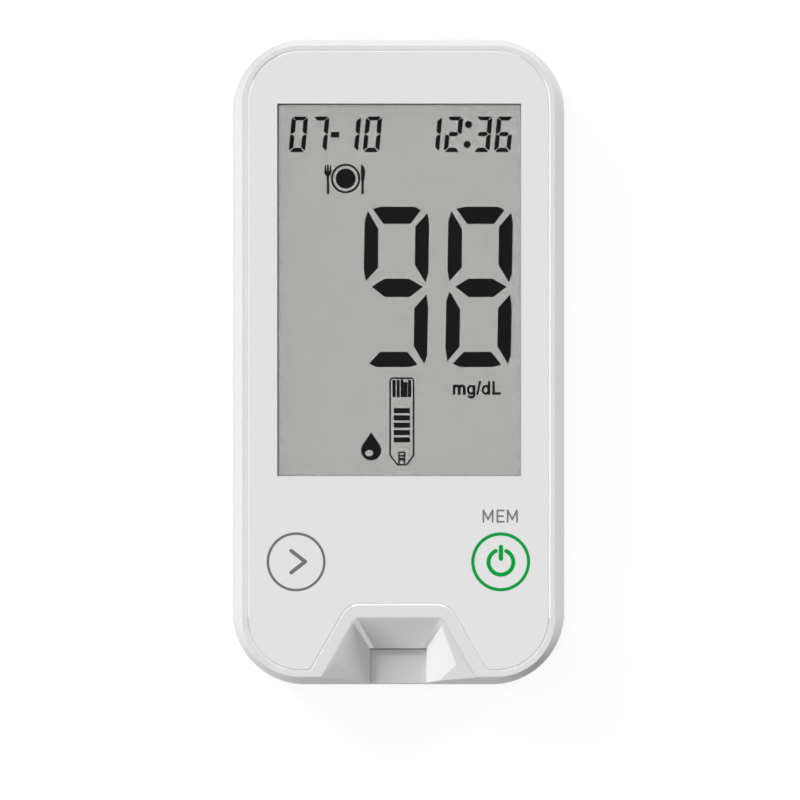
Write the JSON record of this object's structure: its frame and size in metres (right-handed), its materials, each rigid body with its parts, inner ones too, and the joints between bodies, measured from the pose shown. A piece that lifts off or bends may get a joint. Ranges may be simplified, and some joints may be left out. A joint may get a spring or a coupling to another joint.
{
  "type": "blood glucose meter",
  "caption": "Handheld blood glucose meter with a large segment display, two round keys, a recessed test-strip port and a sliding battery cover.",
  "frame": {"origin": "middle of the flat back that the meter lies on, under the centre of its outline", "axes": "+Z out of the display, +Y towards the top of the display, +X to the right of the display; the strip port is at the -Y end"},
  "size_m": [0.0504, 0.098, 0.0155],
  "materials": {
    "white_plastic": "fine matt moulded ABS",
    "printed_sheet": "satin white polycarbonate film",
    "key_plastic": "satin white",
    "clear_lens": "clear polished acrylic",
    "foam": "matt black foam",
    "film": "satin grey polarizer film",
    "display_glass": "clear glass",
    "frame_plastic": "matt off-white",
    "zebra_rubber": "matt grey silicone",
    "circuit_board": "green solder mask",
    "chip_black": "matt black epoxy",
    "steel": "plain nickel-plated",
    "socket_plastic": "matt black",
    "contact_gold": "gold-plated",
    "label_film": "satin light grey, blank"
  },
  "bodies": {
    "housing": {"front_housing": "white_plastic", "rear_housing": "white_plastic", "front_sheet": "printed_sheet", "rating_label": "label_film", "housing_screw_1": "steel", "housing_screw_2": "steel", "housing_screw_3": "steel", "housing_screw_4": "steel", "display_lens": "clear_lens", "display_gasket": "foam", "display_polarizer": "film", "display_reflector": "film", "display_front_glass": "display_glass", "display_rear_glass": "display_glass", "display_frame": "frame_plastic", "zebra_connector": "zebra_rubber", "main_board": "circuit_board", "processor": "chip_black", "analog_front_end": "chip_black", "memory_chip": "chip_black", "buzzer": "chip_black", "clock_crystal": "steel", "strip_socket": "socket_plastic", "strip_contact_1": "contact_gold", "strip_contact_2": "contact_gold", "strip_contact_3": "contact_gold", "strip_contact_4": "contact_gold", "strip_contact_5": "contact_gold", "board_screw_1": "steel", "board_screw_2": "steel", "next_switch": "steel", "power_switch": "steel", "lower_coin_cell": "steel", "upper_coin_cell": "steel", "lower_negative_contact": "contact_gold", "upper_negative_contact": "contact_gold", "lower_positive_contact": "contact_gold", "upper_positive_contact": "contact_gold"},
    "next_button": {"next_key": "key_plastic", "next_plunger": "socket_plastic"},
    "power_button": {"power_key": "key_plastic", "power_plunger": "socket_plastic"},
    "cover": {"battery_cover": "white_plastic"}
  },
  "joints": [
    {"name": "next_key_press", "type": "slide", "parent": "housing", "child": "next_button", "axis": [0, 0, -1], "range_m": [0, 0.0003], "stiffness_N_per_m": 1000, "springref_m": -0.0005},
    {"name": "power_key_press", "type": "slide", "parent": "housing", "child": "power_button", "axis": [0, 0, -1], "range_m": [0, 0.0003], "stiffness_N_per_m": 1000, "springref_m": -0.0005},
    {"name": "battery_cover_slide", "type": "slide", "parent": "housing", "child": "cover", "axis": [0, 1, 0], "range_m": [0, 0.05]}
  ]
}
